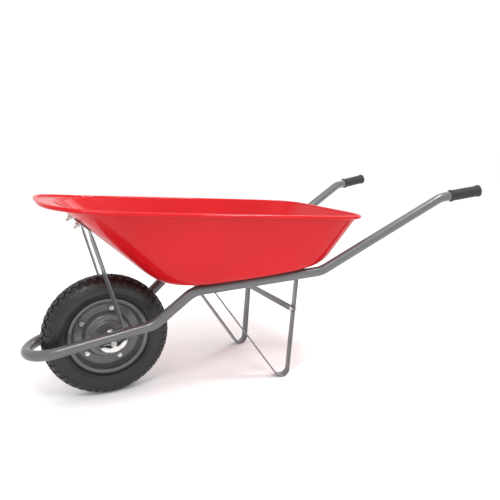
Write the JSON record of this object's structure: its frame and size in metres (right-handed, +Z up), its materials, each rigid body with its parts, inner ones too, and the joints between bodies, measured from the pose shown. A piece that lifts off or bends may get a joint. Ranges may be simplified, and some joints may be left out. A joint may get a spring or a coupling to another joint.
{
  "type": "wheelbarrow",
  "caption": "Single-wheel wheelbarrow with a red pressed steel tray, grey tube frame with a loop round the wheel, strip legs, black grips and a free-turning pneumatic wheel",
  "frame": {"origin": "on the ground under the middle of the barrow's box, on its centre plane", "axes": "+X from the wheel to the grips, +Y to the right of the person who pushes it, +Z up"},
  "size_m": [1.3598, 0.6946, 0.5823],
  "materials": {
    "tray_paint": "gloss",
    "frame_paint": "satin",
    "rim_paint": "satin",
    "zinc": "satin",
    "bare_steel": "satin",
    "bearing_steel": "polished",
    "tyre_rubber": "matte",
    "tube_rubber": "matte",
    "grip_rubber": "matte"
  },
  "bodies": {
    "frame": {"frame_tube": "frame_paint", "front_cross_strap": "frame_paint", "rear_cross_strap": "frame_paint", "tray": "tray_paint", "tray_bolts": "zinc", "tray_washers": "zinc", "tray_nuts": "zinc", "left_leg": "frame_paint", "right_leg": "frame_paint", "leg_crossbar": "frame_paint", "crossbar_bolts": "zinc", "crossbar_nuts": "zinc", "left_brace": "frame_paint", "right_brace": "frame_paint", "brace_bolts": "zinc", "brace_washers": "zinc", "brace_nuts": "zinc", "left_axle_saddle": "zinc", "right_axle_saddle": "zinc", "saddle_bolts": "zinc", "saddle_washers": "zinc", "saddle_nuts": "zinc", "left_grip": "grip_rubber", "right_grip": "grip_rubber", "axle": "bare_steel", "left_axle_spacer": "bare_steel", "right_axle_spacer": "bare_steel", "left_bearing_inner_ring": "bearing_steel", "right_bearing_inner_ring": "bearing_steel"},
    "wheel": {"left_bearing_outer_ring": "bearing_steel", "right_bearing_outer_ring": "bearing_steel", "left_bearing_balls": "bearing_steel", "right_bearing_balls": "bearing_steel", "hub": "rim_paint", "left_rim_half": "rim_paint", "right_rim_half": "rim_paint", "rim_bolts": "zinc", "rim_nuts": "zinc", "tyre": "tyre_rubber", "inner_tube": "tube_rubber", "valve_stem": "tube_rubber", "valve_cap": "tube_rubber"}
  },
  "joints": [
    {"name": "wheel_spin", "type": "hinge", "parent": "frame", "child": "wheel", "pos_m": [-0.4546, 0, 0.175], "axis": [0, 1, 0], "continuous": true}
  ]
}
